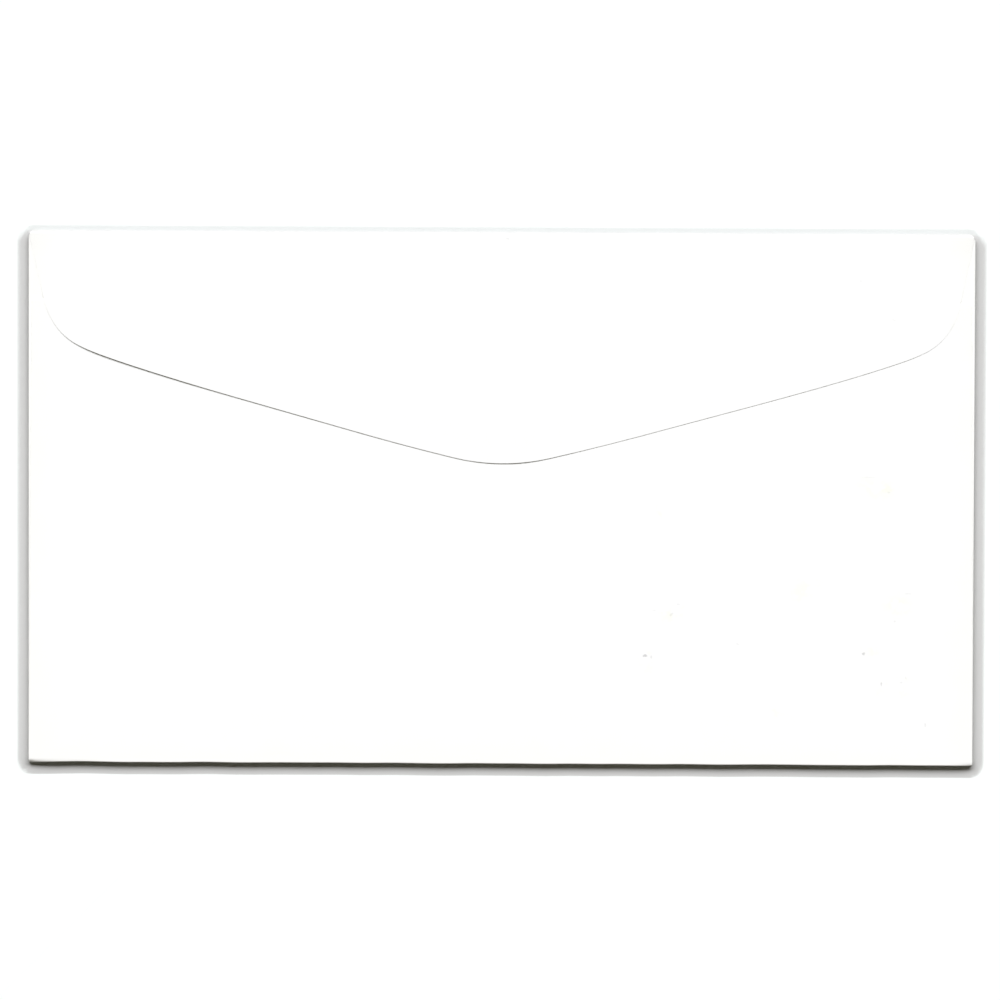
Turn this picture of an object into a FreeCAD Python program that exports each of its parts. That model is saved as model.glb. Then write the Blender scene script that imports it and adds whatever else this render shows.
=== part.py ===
# A first day cover: a gummed envelope folded from one sheet, a stiffener card inside it and a
# perforated postage stamp stuck to its front.
#
# The cover lies face down, so its back and its seal flap are up. X runs along the long side, +Y
# points to the top fold and +Z is up. The origin is the middle of the face that the cover lies on.

import FreeCAD, Part
import math
import os

import Sketcher

# Driving dimensions, in millimetres and degrees: alias, value, meaning.
DIMENSIONS = (
    ("env_width", 165.1, "envelope, side fold to side fold"),
    ("env_height", 92.6, "envelope, bottom fold to top fold"),
    ("paper", 0.12, "thickness of the envelope's sheet"),
    ("slip", 0.03, "air between the card and the sheet on each side of it"),
    ("back_inset_low", 0.2, "side fold to the side edge of the back panel, at the bottom fold"),
    ("back_inset_high", 0.6, "the same at the mouth, because the back panel tapers"),
    ("mouth_depth", 12.0, "top fold to the edge of the back panel, where the pocket opens"),
    ("side_flap", 22.0, "width of a side flap"),
    ("side_fold_end", 0.7, "top fold to the upper end of a side fold"),
    ("side_flap_taper", 7.0, "what each end of a side flap loses towards its free edge"),
    ("glue", 0.02, "gum film between a side flap and the back panel"),
    ("glue_width", 9.0, "width of that film"),
    ("glue_inset", 5.0, "side fold to that film"),
    ("glue_end", 1.0, "edge of the back panel to the upper end of that film"),
    ("seal_inset", 0.5, "side fold to the end of the top fold"),
    ("seal_gap", 0.05, "air under the seal flap at the top fold"),
    ("seal_spring", 0.3, "angle by which the seal flap stands open, in degrees"),
    ("seal_apex", 41.6, "top fold to the seal flap's tip, before the tip is rounded"),
    ("tip_radius", 37.0, "rounding of that tip"),
    ("shoulder_inset", 3.8, "side fold to the seal flap's shoulder, before it is rounded"),
    ("shoulder_depth", 19.9, "top fold to that shoulder"),
    ("shoulder_radius", 10.5, "rounding of that shoulder"),
    ("card", 0.4, "thickness of the stiffener card"),
    ("card_room", 3.2, "each fold to the card's edge"),
    ("card_radius", 1.0, "rounding of the card's corners"),
    ("stamp", 0.1, "thickness of the stamp with its gum"),
    ("perf_pitch", 1.8, "one perforation hole to the next"),
    ("perf_hole", 1.1, "diameter of a perforation hole"),
    ("stamp_columns", 22, "teeth along the stamp's long side"),
    ("stamp_rows", 14, "teeth along the stamp's short side"),
    ("stamp_side", 6.5, "side fold to the stamp"),
    ("stamp_top", 5.5, "top fold to the stamp"),
    ("dent_room", 0.4, "stamp to the slope of the dent that it presses into the sheet"),
    ("dent_slope", 1.2, "width of that slope"),
)

# Places worked out from the dimensions, as expressions of the document. The heights are those of
# the upper faces of the stacked sheets, and each of them is also the outer diameter of its fold.
CARD_Z = "(Dims.paper + Dims.stamp + Dims.slip)"
SIDE_TOP = f"({CARD_Z} + Dims.card + Dims.slip + Dims.paper)"
BACK_TOP = f"({SIDE_TOP} + Dims.glue + Dims.paper)"
SEAL_TOP = f"({BACK_TOP} + Dims.seal_gap + Dims.paper)"

# The front panel is flat as far as these lines, where its folds begin.
FLAT_SIDE = f"(Dims.env_width / 2 - {SIDE_TOP} / 2)"
FLAT_BOTTOM = f"(Dims.env_height / 2 - {BACK_TOP} / 2)"
FLAT_TOP = f"(Dims.env_height / 2 - {SEAL_TOP} / 2)"

BACK_LOW_SIDE = "(Dims.env_width / 2 - Dims.back_inset_low)"
BACK_HIGH_SIDE = "(Dims.env_width / 2 - Dims.back_inset_high)"
MOUTH = "(Dims.env_height / 2 - Dims.mouth_depth)"
SEAL_SIDE = "(Dims.env_width / 2 - Dims.seal_inset)"
SIDE_FOLD_HIGH = "(Dims.env_height / 2 - Dims.side_fold_end)"
STAMP_WIDTH = "(Dims.stamp_columns * Dims.perf_pitch)"
STAMP_HEIGHT = "(Dims.stamp_rows * Dims.perf_pitch)"
STAMP_X = f"({STAMP_WIDTH} / 2 + Dims.stamp_side - Dims.env_width / 2)"
STAMP_Y = f"(Dims.env_height / 2 - Dims.stamp_top - {STAMP_HEIGHT} / 2)"


def value_of(doc, expression):
    """The present value of an expression."""
    return float(doc.Dims.evalExpression(expression))


def add_dimensions(doc):
    """The spreadsheet that drives every size."""
    sheet = doc.addObject("Spreadsheet::Sheet", "Dims")
    for row, (alias, value, meaning) in enumerate(DIMENSIONS, start=1):
        sheet.set(f"A{row}", str(value))
        sheet.setAlias(f"A{row}", alias)
        sheet.set(f"B{row}", meaning)
    doc.recompute()


def add_body(doc, label):
    """An empty body for one sub-part."""
    body = doc.addObject("PartDesign::Body", label)
    body.Label = label
    return body


def origin_feature(body, role):
    """One of the body's own origin planes or axes."""
    return next(feature for feature in body.Origin.OriginFeatures if feature.Role == role)


def add_sketch(body, name, plane="XY_Plane", offset="0"):
    """A sketch on one of the body's origin planes, moved along that plane's normal."""
    sketch = body.newObject("Sketcher::SketchObject", name)
    sketch.AttachmentSupport = [(origin_feature(body, plane), "")]
    sketch.MapMode = "FlatFace"
    sketch.setExpression("AttachmentOffset.Base.z", offset)
    return sketch


def pin(sketch, kind, *where, to):
    """A dimension of the sketch, tied to an expression."""
    index = sketch.addConstraint(Sketcher.Constraint(kind, *where, value_of(sketch.Document, to)))
    sketch.setExpression(f"Constraints[{index}]", to)


def pin_point(sketch, geometry, position, x, y):
    """A point of the sketch, tied to its two expressions."""
    pin(sketch, "DistanceX", -1, 1, geometry, position, to=x)
    pin(sketch, "DistanceY", -1, 1, geometry, position, to=y)


def outline(sketch, corners):
    """A closed outline of straight sides through corners given anticlockwise as (x, y) or
    (x, y, radius). A corner with a radius is rounded, and stays where its two sides would meet."""
    doc = sketch.Document
    count = len(corners)
    spots = [FreeCAD.Vector(value_of(doc, c[0]), value_of(doc, c[1]), 0) for c in corners]
    ways = [(spots[(i + 1) % count] - spot).normalize() for i, spot in enumerate(spots)]
    radii = [value_of(doc, c[2]) if len(c) > 2 else 0 for c in corners]
    turns = [ways[i - 1].getAngle(way) for i, way in enumerate(ways)]
    trims = [radius * math.tan(turn / 2) for radius, turn in zip(radii, turns)]

    sides = []
    for i, way in enumerate(ways):
        start = spots[i] + way * trims[i]
        end = spots[(i + 1) % count] - way * trims[(i + 1) % count]
        sides.append(sketch.addGeometry(Part.LineSegment(start, end), False))

    for i, corner in enumerate(corners):
        before, after = sides[i - 1], sides[i]
        if not radii[i]:
            sketch.addConstraint(Sketcher.Constraint("Coincident", before, 2, after, 1))
            pin_point(sketch, after, 1, corner[0], corner[1])
            continue
        inward = FreeCAD.Vector(-ways[i - 1].y, ways[i - 1].x, 0)
        centre = spots[i] - ways[i - 1] * trims[i] + inward * radii[i]
        first = math.atan2(-inward.y, -inward.x)
        circle = Part.Circle(centre, FreeCAD.Vector(0, 0, 1), radii[i])
        arc = sketch.addGeometry(Part.ArcOfCircle(circle, first, first + turns[i]), False)
        sketch.addConstraint(Sketcher.Constraint("Tangent", before, 2, arc, 1))
        sketch.addConstraint(Sketcher.Constraint("Tangent", arc, 2, after, 1))
        pin(sketch, "Radius", arc, to=corner[2])
        meeting = sketch.addGeometry(Part.Point(spots[i]), True)
        sketch.addConstraint(Sketcher.Constraint("PointOnObject", meeting, 1, before))
        sketch.addConstraint(Sketcher.Constraint("PointOnObject", meeting, 1, after))
        pin_point(sketch, meeting, 1, corner[0], corner[1])


def rectangle(sketch, left, right, low, high):
    """A rectangle between two x and two y expressions."""
    outline(sketch, ((left, low), (right, low), (right, high), (left, high)))


def circle(sketch, x, y, diameter):
    """A circle about a point given by two expressions."""
    doc = sketch.Document
    centre = FreeCAD.Vector(value_of(doc, x), value_of(doc, y), 0)
    radius = value_of(doc, diameter) / 2
    index = sketch.addGeometry(Part.Circle(centre, FreeCAD.Vector(0, 0, 1), radius), False)
    pin(sketch, "Diameter", index, to=diameter)
    pin_point(sketch, index, 3, x, y)


def add_pad(body, name, sketch, length):
    """A sketch raised along its normal."""
    pad = body.newObject("PartDesign::Pad", name)
    pad.Profile = sketch
    pad.setExpression("Length", length)
    return pad


def add_fold(body, name, plane, offset, ends, diameter, angle, forward):
    """The sheet's edge turned over through an angle: its section, on the line where the fold
    begins, goes round an axis at half the fold's outer diameter. The fold bulges forward along
    the plane's normal, or backward."""
    sketch = add_sketch(body, f"{name}_section", plane, offset)
    rectangle(sketch, ends[0], ends[1], "0", "Dims.paper")
    height = value_of(body.Document, diameter) / 2
    spots = [FreeCAD.Vector(value_of(body.Document, end), height, 0) for end in ends]
    axis = sketch.addGeometry(Part.LineSegment(*spots), True)
    pin_point(sketch, axis, 1, ends[0], f"{diameter} / 2")
    pin_point(sketch, axis, 2, ends[1], f"{diameter} / 2")
    fold = body.newObject("PartDesign::Revolution", name)
    fold.Profile = sketch
    fold.ReferenceAxis = (sketch, ["Axis0"])
    fold.Reversed = forward
    fold.setExpression("Angle", angle)
    return fold


def add_loft(body, kind, name, low, high):
    """A loft of straight sides between the dent's outline at its foot and at its top."""
    foot = add_sketch(body, f"{name}_foot", "XY_Plane", low)
    dent_outline(foot, "(Dims.dent_room + Dims.dent_slope)")
    top = add_sketch(body, f"{name}_top", "XY_Plane", high)
    dent_outline(top, "Dims.dent_room")
    loft = body.newObject(kind, name)
    loft.Profile = foot
    loft.Sections = [top]
    loft.Ruled = True


def dent_outline(sketch, margin):
    """The stamp's rectangle with a margin all round."""
    half_width = f"({STAMP_WIDTH} / 2 + {margin})"
    half_height = f"({STAMP_HEIGHT} / 2 + {margin})"
    rectangle(
        sketch,
        f"{STAMP_X} - {half_width}",
        f"{STAMP_X} + {half_width}",
        f"{STAMP_Y} - {half_height}",
        f"{STAMP_Y} + {half_height}",
    )


def build_envelope(doc):
    """One sheet, folded four times: the front panel below, a flap turned in at each side, the
    back panel over both and gummed to them, and the seal flap folded down but not stuck."""
    body = add_body(doc, "envelope")

    sketch = add_sketch(body, "front_outline")
    rectangle(sketch, f"-{FLAT_SIDE}", FLAT_SIDE, f"-{FLAT_BOTTOM}", FLAT_TOP)
    add_pad(body, "front_panel", sketch, "Dims.paper")

    # The stamp presses its thickness into the sheet, which keeps its own thickness over it.
    dent_top = "Dims.paper + Dims.stamp"
    add_loft(body, "PartDesign::AdditiveLoft", "dent_inside", "Dims.paper", dent_top)
    add_loft(body, "PartDesign::SubtractiveLoft", "dent_outside", "0", "Dims.stamp")

    ends = (f"-{BACK_LOW_SIDE}", BACK_LOW_SIDE)
    add_fold(body, "bottom_fold", "XZ_Plane", FLAT_BOTTOM, ends, BACK_TOP, "180", True)
    sketch = add_sketch(body, "back_outline", "XY_Plane", f"{BACK_TOP} - Dims.paper")
    outline(
        sketch,
        (
            (f"-{BACK_LOW_SIDE}", f"-{FLAT_BOTTOM}"),
            (BACK_LOW_SIDE, f"-{FLAT_BOTTOM}"),
            (BACK_HIGH_SIDE, MOUTH),
            (f"-{BACK_HIGH_SIDE}", MOUTH),
        ),
    )
    add_pad(body, "back_panel", sketch, "Dims.paper")

    ends = (f"-{FLAT_BOTTOM}", SIDE_FOLD_HIGH)
    fold = add_fold(body, "side_fold", "YZ_Plane", FLAT_SIDE, ends, SIDE_TOP, "180", True)
    sketch = add_sketch(body, "side_flap_outline", "XY_Plane", f"{SIDE_TOP} - Dims.paper")
    free_edge = "Dims.env_width / 2 - Dims.side_flap"
    free_low = f"(Dims.side_flap_taper - {FLAT_BOTTOM})"
    free_high = f"({SIDE_FOLD_HIGH} - Dims.side_flap_taper)"
    outline(
        sketch,
        (
            (FLAT_SIDE, f"-{FLAT_BOTTOM}"),
            (FLAT_SIDE, SIDE_FOLD_HIGH),
            (free_edge, free_high),
            (free_edge, free_low),
        ),
    )
    flap = add_pad(body, "side_flap", sketch, "Dims.paper")
    sketch = add_sketch(body, "gum_outline", "XY_Plane", SIDE_TOP)
    gum_edge = "Dims.env_width / 2 - Dims.glue_inset"
    rectangle(
        sketch,
        f"{gum_edge} - Dims.glue_width",
        gum_edge,
        free_low,
        f"{MOUTH} - Dims.glue_end",
    )
    gum = add_pad(body, "side_gum", sketch, "Dims.glue")
    mirrored = body.newObject("PartDesign::Mirrored", "other_side")
    mirrored.Originals = [fold, flap, gum]
    mirrored.MirrorPlane = (origin_feature(body, "YZ_Plane"), [""])
    body.Tip = mirrored

    ends = (f"-{SEAL_SIDE}", SEAL_SIDE)
    turn = "180 - Dims.seal_spring"
    add_fold(body, "top_fold", "XZ_Plane", f"-{FLAT_TOP}", ends, SEAL_TOP, turn, False)
    add_seal_flap(body)
    return body


def add_seal_flap(body):
    """The seal flap, on a plane that leaves the top fold at the angle where the fold ends."""
    inner_radius = f"({SEAL_TOP} / 2 - Dims.paper)"
    spring = "(Dims.seal_spring * 1 deg)"
    height = f"{SEAL_TOP} / 2 + {inner_radius} * cos{spring}"
    sketch = add_sketch(body, "seal_outline", "XY_Plane", height)
    sketch.setExpression("AttachmentOffset.Base.y", f"{FLAT_TOP} + {inner_radius} * sin{spring}")
    tilt = FreeCAD.Rotation(FreeCAD.Vector(1, 0, 0), -value_of(body.Document, "Dims.seal_spring"))
    sketch.AttachmentOffset = FreeCAD.Placement(FreeCAD.Vector(), tilt)
    sketch.setExpression("AttachmentOffset.Rotation.Angle", "-Dims.seal_spring")
    shoulder_x = "(Dims.env_width / 2 - Dims.shoulder_inset)"
    shoulder_y = f"{SEAL_TOP} / 2 - Dims.shoulder_depth"
    outline(
        sketch,
        (
            (SEAL_SIDE, "0"),
            (f"-{SEAL_SIDE}", "0"),
            (f"-{shoulder_x}", shoulder_y, "Dims.shoulder_radius"),
            ("0", f"{SEAL_TOP} / 2 - Dims.seal_apex", "Dims.tip_radius"),
            (shoulder_x, shoulder_y, "Dims.shoulder_radius"),
        ),
    )
    add_pad(body, "seal_flap", sketch, "Dims.paper")


def build_card(doc):
    """The stiffener card, loose in the pocket."""
    body = add_body(doc, "stiffener_card")
    sketch = add_sketch(body, "card_outline")
    half_width = "(Dims.env_width / 2 - Dims.card_room)"
    half_height = "(Dims.env_height / 2 - Dims.card_room)"
    outline(
        sketch,
        (
            (f"-{half_width}", f"-{half_height}", "Dims.card_radius"),
            (half_width, f"-{half_height}", "Dims.card_radius"),
            (half_width, half_height, "Dims.card_radius"),
            (f"-{half_width}", half_height, "Dims.card_radius"),
        ),
    )
    add_pad(body, "card_sheet", sketch, "Dims.card")
    body.setExpression("Placement.Base.z", CARD_Z)
    return body


def add_perforation(body, name, axis, holes, spacing_count):
    """A pair of holes cut through the stamp and repeated along one of its sides."""
    sketch = add_sketch(body, f"{name}_pair")
    for x, y in holes:
        circle(sketch, x, y, "Dims.perf_hole")
    pocket = body.newObject("PartDesign::Pocket", name)
    pocket.Profile = sketch
    pocket.Type = "ThroughAll"
    pocket.Reversed = True
    pattern = body.newObject("PartDesign::LinearPattern", f"{name}_row")
    pattern.Originals = [pocket]
    pattern.Direction = (origin_feature(body, axis), [""])
    pattern.setExpression("Length", f"{spacing_count} * Dims.perf_pitch")
    pattern.setExpression("Occurrences", f"{spacing_count} + 1")
    body.Tip = pattern


def build_stamp(doc):
    """The stamp: its four sides are torn along rows of round holes, with a hole at each corner."""
    body = add_body(doc, "postage_stamp")
    half_width, half_height = f"({STAMP_WIDTH} / 2)", f"({STAMP_HEIGHT} / 2)"
    sketch = add_sketch(body, "stamp_outline")
    rectangle(sketch, f"-{half_width}", half_width, f"-{half_height}", half_height)
    add_pad(body, "stamp_sheet", sketch, "Dims.stamp")
    long_side = ((f"-{half_width}", f"-{half_height}"), (f"-{half_width}", half_height))
    add_perforation(body, "long_side_holes", "X_Axis", long_side, "Dims.stamp_columns")
    second_hole = f"-{half_height} + Dims.perf_pitch"
    short_side = ((f"-{half_width}", second_hole), (half_width, second_hole))
    add_perforation(body, "short_side_holes", "Y_Axis", short_side, "(Dims.stamp_rows - 2)")
    body.setExpression("Placement.Base.x", STAMP_X)
    body.setExpression("Placement.Base.y", STAMP_Y)
    return body


def check(doc, bodies):
    """Stop if any feature failed or any sub-part isn't one sound solid."""
    failed = [o.Name for o in doc.Objects if {"Invalid", "Error"} & set(o.State)]
    if failed:
        raise RuntimeError(f"features that failed: {failed}")
    for body in bodies:
        shape = body.Shape
        if shape.isNull() or not shape.isValid() or len(shape.Solids) != 1:
            raise RuntimeError(f"{body.Label} isn't one valid solid")


def main():
    doc = FreeCAD.newDocument("FirstDayCover")
    add_dimensions(doc)
    bodies = (build_envelope(doc), build_card(doc), build_stamp(doc))
    doc.recompute()
    check(doc, bodies)
    os.makedirs("parts", exist_ok=True)
    for body in bodies:
        body.Shape.exportStep(f"parts/{body.Label}.step")
        print(f"{body.Label}: {body.Shape.Volume:.2f} mm3")


main()
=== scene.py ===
import bmesh
import bpy
import math
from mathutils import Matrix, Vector, kdtree, noise


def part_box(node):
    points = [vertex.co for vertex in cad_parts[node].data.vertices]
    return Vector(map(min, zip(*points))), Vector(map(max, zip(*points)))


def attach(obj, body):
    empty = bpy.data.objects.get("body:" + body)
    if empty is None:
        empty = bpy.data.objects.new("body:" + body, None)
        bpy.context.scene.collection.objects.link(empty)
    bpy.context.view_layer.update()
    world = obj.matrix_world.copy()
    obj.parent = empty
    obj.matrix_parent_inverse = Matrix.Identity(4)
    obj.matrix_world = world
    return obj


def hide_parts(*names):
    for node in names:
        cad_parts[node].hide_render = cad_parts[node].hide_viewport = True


# A first day cover lying face down: its envelope is folded here from one sheet, and its stamp and
# stiffener card come from the frame.

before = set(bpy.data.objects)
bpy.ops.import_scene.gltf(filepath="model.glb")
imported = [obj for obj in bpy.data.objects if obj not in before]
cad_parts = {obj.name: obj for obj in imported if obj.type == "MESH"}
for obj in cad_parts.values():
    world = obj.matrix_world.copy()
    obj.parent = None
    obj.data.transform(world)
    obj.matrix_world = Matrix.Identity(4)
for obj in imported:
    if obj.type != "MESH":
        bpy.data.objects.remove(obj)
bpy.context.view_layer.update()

MM = 0.001
NEAR = 0.004 * MM

# ---------------------------------------------------------------- sizes, from the frame

_, envelope_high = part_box("envelope")
_, card_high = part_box("stiffener_card")
stamp_low, stamp_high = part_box("postage_stamp")

PAPER = 0.12 * MM
SLIP = 0.03 * MM
GUM = 0.02 * MM
SEAL_GAP = 0.05 * MM
HALF_WIDTH = envelope_high.x
HALF_HEIGHT = envelope_high.y

# The upper faces of the stacked sheets, which are also the outer diameters of their folds.
SIDE_TOP = card_high.z + SLIP + PAPER
BACK_TOP = SIDE_TOP + GUM + PAPER
SEAL_TOP = BACK_TOP + SEAL_GAP + PAPER
FLAT_SIDE = HALF_WIDTH - SIDE_TOP / 2
FLAT_BOTTOM = HALF_HEIGHT - BACK_TOP / 2
FLAT_TOP = HALF_HEIGHT - SEAL_TOP / 2

BACK_LOW_SIDE = HALF_WIDTH - 0.05 * MM
BACK_HIGH_SIDE = HALF_WIDTH - 0.6 * MM
MOUTH = HALF_HEIGHT - 12.0 * MM
SIDE_FOLD_HIGH = HALF_HEIGHT - 0.7 * MM
SIDE_FLAP = 22.0 * MM
SIDE_FLAP_TAPER = 7.0 * MM
SEAL_SIDE = HALF_WIDTH - 0.12 * MM
SEAL_SPRING = math.radians(0.3)
SEAL_DEPTH = 40.14 * MM
STAMP = stamp_high.z
CELL = 2.0 * MM  # one step of the sheet's mesh
TURN_STEPS = 16  # steps of the mesh round a fold

# Lines that the sheet's mesh follows: round the dent that the stamp makes, near the corners, and
# where the bottom fold's wear ends.
DENT_LINES = (0.4 * MM, 0.8 * MM, 1.2 * MM, 1.6 * MM)
CORNER_LINES = (0.62 * MM, 0.8 * MM, 1.1 * MM)
WEAR_LINES = (0.07 * MM, 0.2 * MM)  # on the back panel, from the bottom fold

# The seal flap's edge, from its tip up to its straight side: the radius of each arc, the angle
# from the long side that it turns to, and the number of short cuts that make it.
SEAL_ARCS = (
    (37.0 * MM, 13.2, 8),
    (420.0 * MM, 15.4, 3),
    (9000.0 * MM, 15.55, 1),
    (600.0 * MM, 16.8, 3),
    (310.0 * MM, 18.2, 3),
    (125.0 * MM, 20.3, 3),
    (29.0 * MM, 27.0, 5),
    (10.5 * MM, 42.0, 6),
    (11.0 * MM, 60.0, 8),
    (14.0 * MM, 72.0, 6),
)


# ---------------------------------------------------------------- modelling helpers


def start_edit(piece):
    """Edit mode on one piece, with nothing selected."""
    bpy.ops.object.select_all(action="DESELECT")
    bpy.context.view_layer.objects.active = piece
    piece.select_set(True)
    bpy.ops.object.mode_set(mode="EDIT")
    bpy.ops.mesh.select_all(action="DESELECT")


def end_edit():
    bpy.ops.object.mode_set(mode="OBJECT")


def pick_edges(piece, test):
    """Select the edges whose two ends both pass a test of their place."""
    bpy.ops.mesh.select_mode(type="EDGE")
    bpy.ops.mesh.select_all(action="DESELECT")
    form = bmesh.from_edit_mesh(piece.data)
    for edge in form.edges:
        edge.select_set(all(test(corner.co) for corner in edge.verts))
    bmesh.update_edit_mesh(piece.data)


def pick_faces(piece, test):
    """Select the faces whose middle passes a test of its place."""
    bpy.ops.mesh.select_mode(type="FACE")
    bpy.ops.mesh.select_all(action="DESELECT")
    form = bmesh.from_edit_mesh(piece.data)
    for face in form.faces:
        face.select_set(test(face.calc_center_median()))
    bmesh.update_edit_mesh(piece.data)


def score(piece, test, point, normal):
    """A line scored across the faces that pass a test."""
    pick_faces(piece, test)
    bpy.ops.mesh.bisect(plane_co=point, plane_no=normal)


def cut_away(piece, test, point, normal):
    """The faces that pass a test trimmed along a line: what lies on the normal's side goes."""
    pick_faces(piece, test)
    bpy.ops.mesh.bisect(plane_co=point, plane_no=normal, clear_outer=True, threshold=NEAR / 10)


def fold_over(centre, axis, angle):
    """The picked edge rolled round an axis."""
    bpy.ops.mesh.spin(steps=TURN_STEPS, angle=angle, center=centre, axis=axis)


def run_out(way, length):
    """The picked edge drawn out into a panel, row by row."""
    rows = max(1, round(length / CELL))
    step = way * (length / rows)
    for _ in range(rows):
        bpy.ops.mesh.extrude_region_move(TRANSFORM_OT_translate={"value": step})


def smooth(start, end, value):
    """0 at the start, 1 at the end, and level at both."""
    share = min(1.0, max(0.0, (value - start) / (end - start)))
    return share * share * (3 - 2 * share)


# ---------------------------------------------------------------- the envelope's one sheet


def on_front(place):
    return place.z < PAPER


def on_side_flap(place):
    return abs(place.z - SIDE_TOP + PAPER / 2) < NEAR and abs(place.x) < FLAT_SIDE


def on_back(place):
    return abs(place.z - BACK_TOP + PAPER / 2) < NEAR and place.y > -FLAT_BOTTOM


def on_seal(place):
    return place.z > BACK_TOP + SEAL_GAP and place.y < FLAT_TOP


def model_front_panel():
    """The front panel's middle surface, scored where its folds end and round the stamp."""
    columns = round(2 * FLAT_SIDE / CELL)
    rows = round((FLAT_BOTTOM + FLAT_TOP) / CELL)
    bpy.ops.object.select_all(action="DESELECT")
    bpy.ops.mesh.primitive_grid_add(x_subdivisions=columns, y_subdivisions=rows, size=1)
    piece = bpy.context.object
    piece.name = "folded_envelope"
    start_edit(piece)
    bpy.ops.mesh.select_all(action="SELECT")
    bpy.ops.transform.resize(value=(2 * FLAT_SIDE, FLAT_BOTTOM + FLAT_TOP, 1))
    bpy.ops.transform.translate(value=(0, (FLAT_TOP - FLAT_BOTTOM) / 2, PAPER / 2))
    score(piece, on_front, (0, SIDE_FOLD_HIGH, 0), (0, 1, 0))
    for inset in CORNER_LINES:
        score(piece, on_front, (0, HALF_HEIGHT - inset, 0), (0, 1, 0))
        score(piece, on_front, (0, inset - HALF_HEIGHT, 0), (0, 1, 0))
        score(piece, on_front, (HALF_WIDTH - inset, 0, 0), (1, 0, 0))
        score(piece, on_front, (inset - HALF_WIDTH, 0, 0), (1, 0, 0))
    for margin in DENT_LINES:
        for x in (stamp_low.x - margin, stamp_high.x + margin):
            score(piece, on_front, (x, 0, 0), (1, 0, 0))
        for y in (stamp_low.y - margin, stamp_high.y + margin):
            score(piece, on_front, (0, y, 0), (0, 1, 0))
    return piece


def model_back_panel(piece):
    """The bottom fold and the back panel, which tapers towards the mouth."""
    pick_edges(piece, lambda p: on_front(p) and p.y < -FLAT_BOTTOM + NEAR)
    fold_over((0, -FLAT_BOTTOM, BACK_TOP / 2), (1, 0, 0), math.pi)
    run_out(Vector((0, 1, 0)), FLAT_BOTTOM + MOUTH)
    for inset in WEAR_LINES:
        score(piece, on_back, (0, inset - FLAT_BOTTOM, 0), (0, 1, 0))
    widen(piece, lambda p: p.y < -FLAT_BOTTOM - NEAR or on_back(p), BACK_LOW_SIDE)
    for side in (-1, 1):
        taper = Vector((side * (FLAT_BOTTOM + MOUTH), BACK_LOW_SIDE - BACK_HIGH_SIDE, 0))
        cut_away(piece, on_back, (side * BACK_LOW_SIDE, -FLAT_BOTTOM, 0), taper.normalized())


def widen(piece, test, new_side):
    """The two ends of a fold and its panel moved out to a new side."""
    for side in (-1, 1):
        pick_edges(piece, lambda p: side * p.x > FLAT_SIDE - NEAR and test(p))
        bpy.ops.transform.translate(value=(side * (new_side - FLAT_SIDE), 0, 0))


def model_side_flap(piece, side):
    """One side fold and its flap, with sloping ends."""
    edge = side * FLAT_SIDE
    high = SIDE_FOLD_HIGH + NEAR
    pick_edges(piece, lambda p: on_front(p) and abs(p.x - edge) < NEAR and p.y < high)
    fold_over((edge, 0, SIDE_TOP / 2), (0, side, 0), math.pi)
    reach = SIDE_FLAP - SIDE_TOP / 2
    run_out(Vector((-side, 0, 0)), reach)
    for end, way in ((-FLAT_BOTTOM, -1), (SIDE_FOLD_HIGH, 1)):
        slope = Vector((-side * SIDE_FLAP_TAPER, way * reach, 0)).normalized()
        cut_away(piece, lambda p: on_side_flap(p) and side * p.x > 0, (edge, end, 0), slope)


def arc_step(start, end):
    """The way from one direction of an arc to another, for a radius of 1."""
    return Vector((math.sin(end) - math.sin(start), math.cos(start) - math.cos(end), 0))


def model_seal_flap(piece):
    """The top fold and the seal flap, cut to its outline by short straight cuts."""
    side = FLAT_SIDE + NEAR
    pick_edges(piece, lambda p: on_front(p) and p.y > FLAT_TOP - NEAR and abs(p.x) < side)
    fold_over((0, FLAT_TOP, SEAL_TOP / 2), (-1, 0, 0), math.pi - SEAL_SPRING)
    run_out(Vector((0, -math.cos(SEAL_SPRING), math.sin(SEAL_SPRING))), SEAL_DEPTH)
    widen(piece, lambda p: p.y > FLAT_TOP + NEAR or p.z > BACK_TOP, SEAL_SIDE)
    spot = Vector((0, HALF_HEIGHT - SEAL_DEPTH, 0))
    start = 0.0
    for radius, end, count in SEAL_ARCS:
        end = math.radians(end)
        for i in range(count):
            turn = start + (end - start) * (i + 0.5) / count
            cut_seal(piece, spot + radius * arc_step(start, turn), turn)
        spot += radius * arc_step(start, end)
        start = end
    cut_seal(piece, spot, math.atan2(FLAT_TOP - spot.y, SEAL_SIDE - spot.x))


def cut_seal(piece, place, turn):
    """One cut along the seal flap's edge, and its mirror image."""
    for side in (-1, 1):
        outward = Vector((side * math.sin(turn), -math.cos(turn), 0))
        cut_away(piece, on_seal, (side * place.x, place.y, 0), outward)


# ---------------------------------------------------------------- how the sheet lies

# How far the seal flap's edge stands off the back panel, from left to right, in millimetres.
SEAL_GAPS = (
    (-78, 0.01), (-70, 0.15), (-58, 0.12), (-44, 0.075), (-28, 0.057), (-9, 0.046),
    (3, 0.09), (9, 0.045), (18, 0.012), (70, 0.01),
)
SINK = 0.17 * MM  # the seal flap's fold lies this much lower, as the back panel doesn't reach it
LEAST_GAP = 0.008 * MM
SEAL_NARROWING = 0.19  # what the seal flap loses at each side, as a share of its depth
SEAL_EDGE = 0.5  # the share of its thickness that pressing leaves at the seal flap's edge
SEAL_SKEW = math.tan(math.radians(0.27))

# How far the bottom fold's upper turn is worn down, from left to right, in millimetres.
BOTTOM_WEAR = ((-82.4, 0.36), (-81, 0.14), (-78, 0.04), (-70, 0.0), (79.5, 0.0), (82.4, 0.12))

# The worn corners: side, end, and the radius that each is rounded to.
CORNERS = ((-1, 1, 0.7 * MM), (1, 1, 1.0 * MM), (1, -1, 0.25 * MM), (-1, -1, 0.12 * MM))


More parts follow.
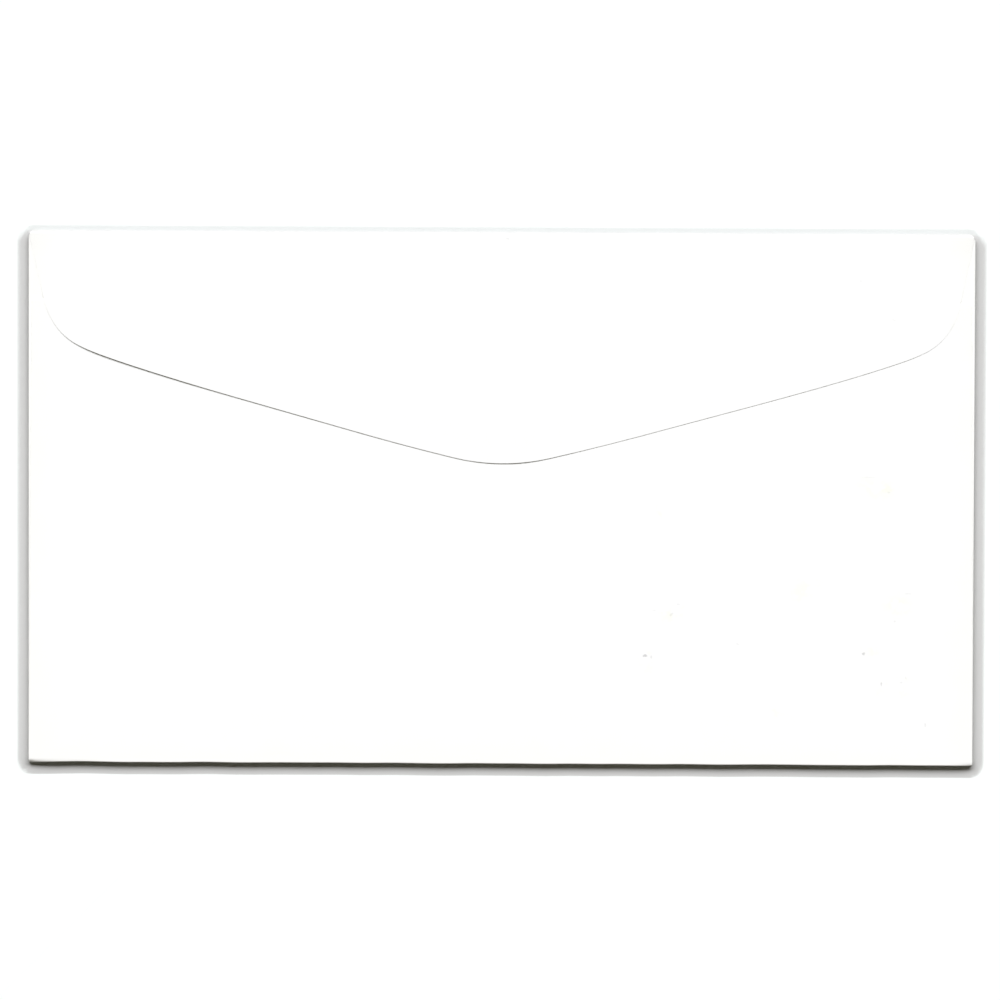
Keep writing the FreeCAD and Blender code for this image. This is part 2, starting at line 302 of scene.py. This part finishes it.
def dent(place):
    """How far the stamp presses the front panel in."""
    aside = max(stamp_low.x - place.x, place.x - stamp_high.x)
    along = max(stamp_low.y - place.y, place.y - stamp_high.y)
    rise = [1 - smooth(DENT_LINES[0], DENT_LINES[-1], gap) for gap in (aside, along)]
    return STAMP * rise[0] * rise[1]


def slack(x, y):
    """How far the upper sheets stand off the card, which is nothing near the folds."""
    wave = 0.5 + 0.5 * noise.noise(Vector((x / (42 * MM), y / (30 * MM), 2.7)))
    inside = min(HALF_WIDTH - abs(x), HALF_HEIGHT - abs(y))
    return 0.06 * MM * wave * smooth(0, 14 * MM, inside)


def height_at(heights, x):
    """One height from a list of them, or a height between two."""
    for (left, low), (right, high) in zip(heights, heights[1:]):
        if x < right * MM:
            break
    return (low + (high - low) * smooth(left, right, x / MM)) * MM


def wear_bottom(x, y, z):
    """How far the bottom fold's upper turn is worn down at one place."""
    outward = max(0, -y - FLAT_BOTTOM) / (HALF_HEIGHT - PAPER / 2 - FLAT_BOTTOM)
    upward = max(0, z - PAPER / 2) / (BACK_TOP - PAPER)
    return height_at(BOTTOM_WEAR, x) * outward ** 2 * upward


def pressed_section(middle):
    """The middle line of a pressed fold, out from its flat line and up from its middle height: a
    tight turn, an upright wall and a tighter turn, in as many steps as the fold has."""
    reach = middle - PAPER / 2
    low, high, short = 0.22 * MM, 0.08 * MM, 0.03 * MM
    turns = [math.radians(18 * i) for i in range(6)]
    line = [(0, -reach), (reach - low - short, -reach)]
    line += [(reach - low + low * math.sin(t), low - reach - low * math.cos(t)) for t in turns]
    line += [(reach, (low - high) / 2)]
    line += [(reach - high + high * math.cos(t), reach - high + high * math.sin(t)) for t in turns]
    return line + [(reach - high - short, reach), (0, reach)]


def press(section, across, up):
    """A point of a round fold, moved to the same step of the pressed one."""
    step = min(TURN_STEPS - 1e-6, max(0, math.atan2(across, -up) / math.pi * TURN_STEPS))
    start, end = section[int(step)], section[int(step) + 1]
    share = step % 1
    return start[0] + (end[0] - start[0]) * share, start[1] + (end[1] - start[1]) * share


BOTTOM_SECTION = pressed_section(BACK_TOP / 2)
TOP_SECTION = pressed_section(SEAL_TOP / 2)
SIDE_SECTION = pressed_section(SIDE_TOP / 2)


def press_folds(x, y, z):
    """The folds as pressing leaves them, no longer round."""
    if y < -FLAT_BOTTOM - NEAR:
        across, up = press(BOTTOM_SECTION, -FLAT_BOTTOM - y, z - BACK_TOP / 2)
        return x, -FLAT_BOTTOM - across, BACK_TOP / 2 + up
    if y > FLAT_TOP + NEAR:
        across, up = press(TOP_SECTION, y - FLAT_TOP, z - SEAL_TOP / 2)
        up -= SINK * (0.5 + up / (SEAL_TOP - PAPER))
        return x, FLAT_TOP + across, SEAL_TOP / 2 + up
    if abs(x) > FLAT_SIDE + NEAR and z < SIDE_TOP:
        across, up = press(SIDE_SECTION, abs(x) - FLAT_SIDE, z - SIDE_TOP / 2)
        return math.copysign(FLAT_SIDE + across, x), y, SIDE_TOP / 2 + up
    return x, y, z


def settle_seal(x, y, z):
    """The seal flap, not quite square to its fold: it rises from the fold to the back panel, lies
    nearly flat on it, and its sides hang down on the side flaps where the panel ends."""
    depth = FLAT_TOP - y
    reach = FLAT_TOP - MOUTH
    z -= (SEAL_GAP - LEAST_GAP) * smooth(0, reach, depth) + depth * math.sin(SEAL_SPRING)
    z -= SINK * max(0, 1 - depth / reach)
    z += height_at(SEAL_GAPS, x) * smooth(4 * MM, 19 * MM, depth)
    beside = smooth(3 * MM, 0.3 * MM, SEAL_SIDE - SEAL_NARROWING * depth - abs(x))
    open_part = smooth(reach + 0.5 * MM, reach - 2.5 * MM, depth)
    z -= (GUM + PAPER - LEAST_GAP) * min(1, depth / reach) * open_part * beside
    return x, y - smooth(0, 16 * MM, depth) * SEAL_SKEW * x, z


def wear_corners(x, y):
    """The four corners, each a little rounded."""
    for side, end, radius in CORNERS:
        across = side * x - HALF_WIDTH + radius
        along = end * y - HALF_HEIGHT + radius
        if across > 0 and along > 0:
            turn = max(across, along) / math.hypot(across, along)
            x = side * (HALF_WIDTH - radius + across * turn)
            y = end * (HALF_HEIGHT - radius + along * turn)
    return x, y


def lie(place):
    """Where one point of the folded sheet comes to rest."""
    x, y, z = press_folds(*place)
    if on_front(place):
        z += dent(place)
    else:
        z += slack(x, y) - wear_bottom(x, y, z)
    if place.z > BACK_TOP + SEAL_GAP and place.y < FLAT_TOP + NEAR:
        x, y, z = settle_seal(x, y, z)
    x, y = wear_corners(x, y)
    near_bottom = smooth(-HALF_HEIGHT + 6 * MM, -HALF_HEIGHT, y)
    y += 0.09 * MM * near_bottom * noise.noise(Vector((x / (7 * MM), 0.3, 5.1)))
    x += y / HALF_HEIGHT * (-0.072 * MM + 0.142 * MM * x / HALF_WIDTH)
    return Vector((x, y, z))


def find_seal_edge(piece):
    """The places along the seal flap's free edge, for looking up the nearest."""
    form = bmesh.from_edit_mesh(piece.data)
    rim = {corner for side in form.edges if side.is_boundary for corner in side.verts}
    rim = [corner.co.copy() for corner in rim if on_seal(corner.co)]
    edge = kdtree.KDTree(len(rim))
    for number, place in enumerate(rim):
        edge.insert(place, number)
    edge.balance()
    return edge


def thickness(place, edge):
    """The share of the sheet's thickness at one place, which falls towards the seal flap's edge."""
    if not on_seal(place):
        return 1.0
    pressed = SEAL_EDGE - 0.3 * max(smooth(70, 78, place.x / MM), smooth(-77, -80, place.x / MM))
    return pressed + (1 - pressed) * smooth(0, 9 * MM, edge.find(place)[2])


def model_envelope():
    """The folded sheet, from its middle surface to its full thickness."""
    piece = model_front_panel()
    model_back_panel(piece)
    for side in (-1, 1):
        model_side_flap(piece, side)
    model_seal_flap(piece)
    bpy.ops.mesh.select_all(action="SELECT")
    bpy.ops.mesh.remove_doubles(threshold=NEAR / 4)
    bpy.ops.mesh.normals_make_consistent(inside=False)
    edge = find_seal_edge(piece)
    end_edit()
    group = piece.vertex_groups.new(name="thickness")
    for number, corner in enumerate(piece.data.vertices):
        share = thickness(corner.co, edge)
        group.add([number], share, "REPLACE")
        corner.co = lie(corner.co)
        corner.co.z -= (1 - share) * PAPER / 2
    thick = piece.modifiers.new("sheet_thickness", "SOLIDIFY")
    thick.thickness = PAPER
    thick.offset = 0
    thick.vertex_group = group.name
    bpy.ops.object.modifier_apply(modifier=thick.name)
    bpy.ops.object.shade_smooth_by_angle(angle=math.radians(40))
    return piece


# ---------------------------------------------------------------- finishes

PAPER_WHITE = (0.966, 0.969, 0.977, 1)
PAPER_CLOUD = (0.961, 0.964, 0.971, 1)
PAPER_CREAM = (0.964, 0.964, 0.945, 1)
YELLOWED = (0.948, 0.952, 0.850, 1)
INK = (0.045, 0.045, 0.055, 1)
GUM_TINT = (0.90, 0.87, 0.74, 1)
POSTMARK = (-21.0, 28.0)  # the middle of its rings

# The stamp's two hills, in millimetres: from its left side, height, half width, and the colour.
HILLS = ((8.0, 9.5, 13.0, (0.42, 0.52, 0.45, 1)), (29.0, 7.5, 15.0, (0.27, 0.38, 0.33, 1)))

# The marks on the back, in millimetres: middle, length and width, lean in degrees, strength.
SPECKS = (
    (25.2, -27.3, 1.0, 0.6, 0, 0.34), (26.3, -27.5, 0.5, 0.7, 0, 0.16),
    (63.4, -26.8, 0.8, 0.65, 20, 0.28), (66.5, -32.1, 0.38, 1.0, 0, 0.22),
    (70.0, -31.8, 0.7, 0.3, 0, 0.10), (70.8, -31.0, 0.3, 0.7, 0, 0.09),
    (68.8, -21.1, 0.5, 0.4, 0, 0.10), (74.2, -39.2, 0.35, 0.9, 0, 0.12),
    (29.8, -20.1, 1.0, 0.5, 45, 0.11), (31.0, -18.3, 0.8, 0.3, 0, 0.08),
    (41.4, -25.2, 0.9, 0.35, -25, 0.09), (67.7, 1.4, 0.8, 0.3, 0, 0.08),
    (64.2, 4.0, 3.4, 0.3, 0, 0.05), (71.1, -16.3, 1.6, 0.3, 0, 0.07),
    (26.8, -19.4, 0.7, 0.3, 0, 0.06), (62.6, 38.3, 0.7, 0.5, 0, 0.07),
    (68.4, 31.5, 1.0, 0.3, -30, 0.07), (0.9, 45.4, 0.8, 0.3, 0, 0.12),
)
SMUDGES = (
    (26.0, -28.0, 4.6, 5.4, 0, 0.28), (29.8, -19.7, 6.5, 4.2, 10, 0.36),
    (65.8, 2.1, 11.0, 6.0, -5, 0.24), (67.2, 2.0, 5.0, 3.0, 0, 0.48),
    (69.2, -18.4, 7.3, 6.0, 0, 0.28), (69.0, -17.9, 3.4, 2.4, 0, 0.48),
    (53.0, -15.6, 8.6, 5.0, 25, 0.26), (64.6, -26.2, 4.4, 3.2, 0, 0.28),
    (69.0, -32.8, 9.0, 5.2, 10, 0.30), (27.6, -2.1, 4.8, 1.6, -46, 0.24),
    (48.0, -36.9, 4.2, 2.2, -30, 0.24),
)


def new_finish(name, roughness, specular):
    """A finish with the shader's constant settings."""
    finish = bpy.data.materials.new(name)
    finish.use_nodes = True
    shader = finish.node_tree.nodes["Principled BSDF"]
    shader.inputs["Roughness"].default_value = roughness
    shader.inputs["Specular IOR Level"].default_value = specular
    return finish


def add_node(finish, kind, inputs, output=0, **settings):
    """One node of a finish. Each input is a value or another node's output."""
    tree = finish.node_tree
    node = tree.nodes.new("ShaderNode" + kind)
    for name, value in settings.items():
        setattr(node, name, value)
    for name, value in inputs.items():
        if isinstance(value, bpy.types.NodeSocket):
            tree.links.new(value, node.inputs[name])
        else:
            node.inputs[name].default_value = value
    return node.outputs[output]


def in_millimetres(finish):
    """The place on the object, in millimetres."""
    place = add_node(finish, "TexCoord", {}, "Object")
    return add_node(finish, "Mapping", {"Vector": place, "Scale": (1000, 1000, 1000)})


def maths(finish, operation, first, second=0.0):
    return add_node(finish, "Math", {0: first, 1: second}, operation=operation)


def rise(finish, value, start, end, most=1.0):
    """0 up to the start, then smoothly up to the most at the end."""
    inputs = {"Value": value, "From Min": start, "From Max": end, "To Max": most}
    return add_node(finish, "MapRange", inputs, interpolation_type="SMOOTHSTEP")


def grain(finish, place, scale, detail=2.0):
    inputs = {"Vector": place, "Scale": scale, "Detail": detail}
    return add_node(finish, "TexNoise", inputs, "Fac")


def blend(finish, share, first, second):
    inputs = {"Factor": share, "A": first, "B": second}
    return add_node(finish, "Mix", inputs, "Result", data_type="RGBA")


def split(finish, place):
    parts = add_node(finish, "SeparateXYZ", {"Vector": place})
    return [parts.node.outputs[axis] for axis in "XYZ"]


def mark(finish, ragged, spot, core):
    """One mark's share of the paper: full inside its core, gone at its edge."""
    x, y, length, width, lean, strength = spot
    turn = math.radians(lean)
    inputs = {
        "Vector": ragged, "Rotation": (0, 0, turn), "Location": (x, y, 0),
        "Scale": (length / 2, width / 2, 1),
    }
    own = add_node(finish, "Mapping", inputs, vector_type="TEXTURE")
    flat = add_node(finish, "VectorMath", {0: own, 1: (1, 1, 0)}, operation="MULTIPLY")
    away = add_node(finish, "VectorMath", {0: flat}, "Value", operation="LENGTH")
    return rise(finish, away, 1.0, core, strength)


def all_marks(finish, ragged, spots, core):
    """The strongest mark at each place."""
    total = mark(finish, ragged, spots[0], core)
    for spot in spots[1:]:
        total = maths(finish, "MAXIMUM", total, mark(finish, ragged, spot, core))
    return total


def raggedly(finish, place, scale, reach):
    """The place, shaken about by noise so that edges on it come out ragged."""
    inputs = {"Vector": place, "Scale": scale, "Detail": 2.0}
    cloud = add_node(finish, "TexNoise", inputs, "Color")
    shake = add_node(finish, "VectorMath", {0: cloud, 1: (0.5, 0.5, 0.5)}, operation="SUBTRACT")
    inputs = {0: shake, "Scale": 2 * reach}
    shake = add_node(finish, "VectorMath", inputs, operation="SCALE")
    return add_node(finish, "VectorMath", {0: place, 1: shake}, operation="ADD")


def paper_colour(finish, place):
    """White wove paper: faint clouds, and a little cream where the edges have aged."""
    cloud = rise(finish, grain(finish, place, 0.35, 3.0), 0.35, 0.65)
    colour = blend(finish, cloud, PAPER_WHITE, PAPER_CLOUD)
    x, y, _ = split(finish, raggedly(finish, place, 0.12, 4.0))
    sides = rise(finish, maths(finish, "ABSOLUTE", x), 76.0, 83.0, 0.8)
    bottom = rise(finish, maths(finish, "MULTIPLY", y, -1.0), 41.0, 46.5, 0.7)
    return blend(finish, maths(finish, "MAXIMUM", sides, bottom), colour, PAPER_CREAM)


def end_finish(finish, colour, place, fibre_scale=2.2, depth=0.006 * MM):
    """The colour and the paper's fibres, on the shader."""
    shader = finish.node_tree.nodes["Principled BSDF"]
    fibre = grain(finish, place, fibre_scale, 4.0)
    inputs = {"Height": fibre, "Strength": 1.0, "Distance": depth}
    bump = add_node(finish, "Bump", inputs)
    finish.node_tree.links.new(colour, shader.inputs["Base Color"])
    finish.node_tree.links.new(bump, shader.inputs["Normal"])
    return finish


def finish_paper():
    finish = new_finish("white_wove_paper", 0.85, 0.25)
    place = in_millimetres(finish)
    colour = paper_colour(finish, place)
    ragged = raggedly(finish, place, 0.9, 1.1)
    smudges = all_marks(finish, ragged, SMUDGES, 0.2)
    patches = rise(finish, grain(finish, place, 0.55), 0.42, 0.60, 1.4)
    smudges = maths(finish, "MULTIPLY", smudges, patches)
    ragged = raggedly(finish, place, 4.0, 0.2)
    specks = all_marks(finish, ragged, SPECKS, 0.5)
    up = rise(finish, split(finish, place)[2], 0.5, 0.7)
    colour = blend(finish, maths(finish, "MULTIPLY", smudges, up), colour, YELLOWED)
    colour = blend(finish, maths(finish, "MULTIPLY", specks, up), colour, INK)
    return end_finish(finish, colour, place)


def band(finish, value, middle, width, soft=0.06):
    """1 within a line of a given width, with a soft edge."""
    away = maths(finish, "ABSOLUTE", maths(finish, "SUBTRACT", value, middle))
    return rise(finish, away, width / 2 + soft, width / 2 - soft)


def between(finish, value, low, high, soft=0.08):
    """1 from a low to a high value, with soft ends."""
    above_low = rise(finish, value, low - soft, low + soft)
    below_high = rise(finish, value, high + soft, high - soft)
    return maths(finish, "MULTIPLY", above_low, below_high)


def distance_to(finish, place, x, y):
    """The distance along the sheet from one point of it, in millimetres."""
    flat = add_node(finish, "VectorMath", {0: place, 1: (1, 1, 0)}, operation="MULTIPLY")
    return add_node(finish, "VectorMath", {0: flat, 1: (x, y, 0)}, "Value", operation="DISTANCE")


def postmark(finish, place):
    """A hand stamp's share of the paper: two rings round three bars, and four bars that run on
    across the stamp. Its ink took unevenly."""
    ragged = raggedly(finish, place, 3.0, 0.12)
    x, y, _ = split(finish, ragged)
    away = distance_to(finish, ragged, *POSTMARK)
    outer, inner = band(finish, away, 11.0, 0.45), band(finish, away, 7.4, 0.3)
    print_share = maths(finish, "MAXIMUM", outer, inner)
    short = between(finish, x, POSTMARK[0] - 4.5, POSTMARK[0] + 4.5)
    long = between(finish, x, -72.5, POSTMARK[0] - 13.5)
    for rows, run in (((-3.0, 0.0, 3.0), short), ((-8.4, -2.8, 2.8, 8.4), long)):
        for row in rows:
            bar = maths(finish, "MULTIPLY", band(finish, y, POSTMARK[1] + row, 0.8), run)
            print_share = maths(finish, "MAXIMUM", print_share, bar)
    took = rise(finish, grain(finish, place, 1.3, 4.0), 0.3, 0.55, 0.85)
    return maths(finish, "MULTIPLY", print_share, took)


def finish_printed_front():
    finish = new_finish("postmarked_paper", 0.85, 0.25)
    place = in_millimetres(finish)
    colour = blend(finish, postmark(finish, place), paper_colour(finish, place), INK)
    return end_finish(finish, colour, place)


def finish_gummed_flap():
    """The inner face of the seal flap: a band of dry gum follows its pointed edge."""
    finish = new_finish("gummed_flap_paper", 0.55, 0.4)
    place = in_millimetres(finish)
    x, y, _ = split(finish, raggedly(finish, place, 1.5, 0.5))
    slope = maths(finish, "MULTIPLY", maths(finish, "ABSOLUTE", x), 0.285)
    up_from_edge = maths(finish, "SUBTRACT", y, slope)
    tip = (HALF_HEIGHT - SEAL_DEPTH) / MM
    along_edge = between(finish, up_from_edge, tip + 1.5, tip + 13.0, 0.3)
    gum = maths(finish, "MULTIPLY", along_edge, between(finish, x, -71, 71, 0.3))
    colour = blend(finish, gum, paper_colour(finish, place), GUM_TINT)
    return end_finish(finish, colour, place)


def finish_stamp():
    """The printed face lies down: a white margin, a frame, a sky with a sun over two hills and a
    plain figure 8. The other face is plain gummed paper."""
    finish = new_finish("stamp_print", 0.6, 0.35)
    place = in_millimetres(finish)
    x, y, z = split(finish, place)
    low_x, low_y = stamp_low.x / MM, stamp_low.y / MM
    high_x, high_y = stamp_high.x / MM, stamp_high.y / MM
    middle_x = (low_x + high_x) / 2

    sky = rise(finish, y, low_y + 8, high_y - 2)
    art = blend(finish, sky, (0.80, 0.86, 0.86, 1), (0.36, 0.55, 0.66, 1))
    sun = rise(finish, distance_to(finish, place, middle_x, low_y + 15.5), 4.1, 3.9)
    art = blend(finish, sun, art, (0.90, 0.72, 0.36, 1))
    for left, height, width, tint in HILLS:
        from_top = maths(finish, "SUBTRACT", x, low_x + left)
        squared = maths(finish, "MULTIPLY", from_top, from_top)
        fall = maths(finish, "MULTIPLY", squared, height / (width * width))
        crest = maths(finish, "SUBTRACT", low_y + 2 + height, fall)
        under = rise(finish, maths(finish, "SUBTRACT", y, crest), 0.06, -0.06)
        art = blend(finish, under, art, tint)
    for up, ring in ((17.9, 1.15), (15.0, 1.5)):
        figure = band(finish, distance_to(finish, place, low_x + 5.2, low_y + up + 1.2), ring, 0.6)
        art = blend(finish, figure, art, PAPER_WHITE)

    aside = maths(finish, "ABSOLUTE", maths(finish, "SUBTRACT", x, middle_x))
    along = maths(finish, "ABSOLUTE", maths(finish, "SUBTRACT", y, (low_y + high_y) / 2))
    from_side = maths(finish, "SUBTRACT", (high_x - low_x) / 2, aside)
    from_end = maths(finish, "SUBTRACT", (high_y - low_y) / 2, along)
    margin = maths(finish, "MINIMUM", from_side, from_end)
    art = blend(finish, rise(finish, margin, 2.85, 2.75), art, (0.16, 0.24, 0.30, 1))
    art = blend(finish, rise(finish, margin, 2.45, 2.35), art, PAPER_WHITE)
    art = blend(finish, postmark(finish, place), art, INK)
    colour = blend(finish, rise(finish, z, 0.03, 0.05), art, GUM_TINT)
    return end_finish(finish, colour, place, 5.0, 0.003 * MM)


def finish_board():
    """Grey-white board with short darker fibres in it."""
    finish = new_finish("stiffener_board", 0.9, 0.2)
    place = in_millimetres(finish)
    cloud = grain(finish, place, 0.5, 3.0)
    colour = blend(finish, cloud, (0.70, 0.68, 0.62, 1), (0.80, 0.785, 0.73, 1))
    stretched = add_node(finish, "Mapping", {"Vector": place, "Scale": (1.2, 5.0, 1.0)})
    fleck = rise(finish, grain(finish, stretched, 1.0, 2.0), 0.66, 0.74, 0.4)
    colour = blend(finish, fleck, colour, (0.42, 0.38, 0.31, 1))
    return end_finish(finish, colour, place, 3.0, 0.012 * MM)


def give_finishes(piece):
    """The sheet's three finishes, by the way each of its faces looks and its height."""
    for finish in (finish_paper(), finish_printed_front(), finish_gummed_flap()):
        piece.data.materials.append(finish)
    for face in piece.data.polygons:
        if face.normal.z < -0.5:
            under_seal = face.center.z > BACK_TOP + 0.02 * MM
            face.material_index = 1 if face.center.z < PAPER + STAMP else 2 if under_seal else 0


envelope = model_envelope()
give_finishes(envelope)
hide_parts("envelope")
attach(envelope, "root")
for node, finish in (("stiffener_card", finish_board()), ("postage_stamp", finish_stamp())):
    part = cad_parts[node]
    part.data.materials.clear()
    part.data.materials.append(finish)


# ---------------------------------------------------------------- floor, lights and camera

LAMP_AWAY = 20  # metres
LAMP_TINT = (0.983, 0.983, 1.0)
ROOM_TINT = (1.0, 0.95, 0.64, 1)
ROOM_LEVEL = 0.092
PICTURE_WIDTH = 174.6 * MM
CAMERA_TURN = math.radians(0.27)

# Of the sky above the floor, the share left open where the shade painted into its colour is
# darkest, where that painted shade starts to end, and where it is gone.
CLOSED, OPEN, CLEAR = 0.6, 0.97, 0.998


def painted_shade_near(finish, toward, reach, darkest, lightest, samples):
    """The floor's colour close to the object, darkened there by painted shade where the object hides
    the nearby sky, on the side that looks away from one direction.
    """
    tilt = add_node(finish, "CombineXYZ", {"X": 0.0, "Y": toward, "Z": 0.6})
    inputs = {"Distance": reach, "Normal": tilt}
    open_air = add_node(finish, "AmbientOcclusion", inputs, "AO", samples=samples)
    inputs = {
        "Value": open_air, "From Min": CLOSED, "From Max": OPEN, "To Min": darkest, "To Max": lightest,
    }
    # Painted shade: how much open sky is left near the object sets how dark the floor's colour is
    # painted.
    shade = add_node(finish, "MapRange", inputs)
    return maths(finish, "MAXIMUM", shade, rise(finish, open_air, OPEN, CLEAR))


def finish_floor():
    """White where the floor is clear of the object, and darkened close to it by painted shade. Its red
    is a little lower, which tints it faintly cyan.
    """
    finish = bpy.data.materials.new("floor_white")
    finish.use_nodes = True
    nodes, links = finish.node_tree.nodes, finish.node_tree.links
    nodes.remove(nodes["Principled BSDF"])
    below = painted_shade_near(
        finish, toward=0.8, reach=2.2 * MM, darkest=0.44, lightest=0.63, samples=32)
    above = painted_shade_near(
        finish, toward=-0.8, reach=1.3 * MM, darkest=0.65, lightest=0.83, samples=12)
    # Painted shade: the floor's colour is darkened near the object, most below it and at its sides,
    # and less beside the top fold.
    red = maths(finish, "MINIMUM", below, maths(finish, "MULTIPLY", above, 0.965))
    tone = maths(finish, "MINIMUM", below, above)
    colour = add_node(finish, "CombineColor", {0: red, 1: tone, 2: tone})
    seen = add_node(finish, "BsdfDiffuse", {"Color": colour})
    unseen = add_node(finish, "BsdfDiffuse", {"Color": (0.8, 0.8, 0.8, 1)})
    surface = add_node(finish, "MixShader", {0: seen_directly(finish), 1: unseen, 2: seen})
    links.new(surface, nodes["Material Output"].inputs["Surface"])
    return finish


def seen_directly(finish):
    """1 for what the camera sees, also in a gloss or through glass."""
    rays = add_node(finish, "LightPath", {}).node.outputs
    either = maths(finish, "MAXIMUM", rays["Is Glossy Ray"], rays["Is Transmission Ray"])
    return maths(finish, "MAXIMUM", rays["Is Camera Ray"], either)


def model_floor():
    bpy.ops.object.select_all(action="DESELECT")
    bpy.ops.mesh.primitive_plane_add(size=30, location=(0, 0, -0.01 * MM))
    floor = bpy.context.object
    floor.name = "floor"
    floor.data.materials.append(finish_floor())


def add_softbox(name, azimuth, elevation, width, height, power):
    """A softbox far away: its azimuth is from the top fold's side towards the right."""
    azimuth, elevation = math.radians(azimuth), math.radians(elevation)
    lamp = bpy.data.lights.new(name, "AREA")
    lamp.shape = "RECTANGLE"
    lamp.size, lamp.size_y = width, height
    lamp.energy = power
    lamp.color = LAMP_TINT
    holder = bpy.data.objects.new(name, lamp)
    bpy.context.scene.collection.objects.link(holder)
    level, up = LAMP_AWAY * math.cos(elevation), LAMP_AWAY * math.sin(elevation)
    holder.location = (level * math.sin(azimuth), level * math.cos(azimuth), up)
    holder.rotation_euler = (-holder.location).to_track_quat("-Z", "Y").to_euler()


def set_room():
    """A dim warm room, which is white in itself."""
    room = bpy.data.worlds.new("room")
    bpy.context.scene.world = room
    room.use_nodes = True
    nodes, links = room.node_tree.nodes, room.node_tree.links
    nodes.remove(nodes["Background"])
    lit = add_node(room, "Background", {"Color": ROOM_TINT, "Strength": ROOM_LEVEL})
    white = add_node(room, "Background", {"Color": (1, 1, 1, 1), "Strength": 1.0})
    both = add_node(room, "MixShader", {0: seen_directly(room), 1: lit, 2: white})
    links.new(both, nodes["World Output"].inputs["Surface"])


def add_camera():
    """Straight above, with a long lens, and turned a little."""
    lens = bpy.data.cameras.new("camera")
    lens.lens = 250
    lens.sensor_width = 36
    camera = bpy.data.objects.new("camera", lens)
    bpy.context.scene.collection.objects.link(camera)
    up = PICTURE_WIDTH * lens.lens / lens.sensor_width + SEAL_TOP
    camera.location = (-0.22 * MM, -0.24 * MM, up)
    camera.rotation_euler = (0, 0, CAMERA_TURN)
    lens.clip_start, lens.clip_end = 0.1, 100
    bpy.context.scene.camera = camera


model_floor()
add_softbox("strip", azimuth=0, elevation=39.5, width=36.0, height=8.4, power=9070)
set_room()
add_camera()
bpy.context.scene.view_settings.view_transform = "Standard"
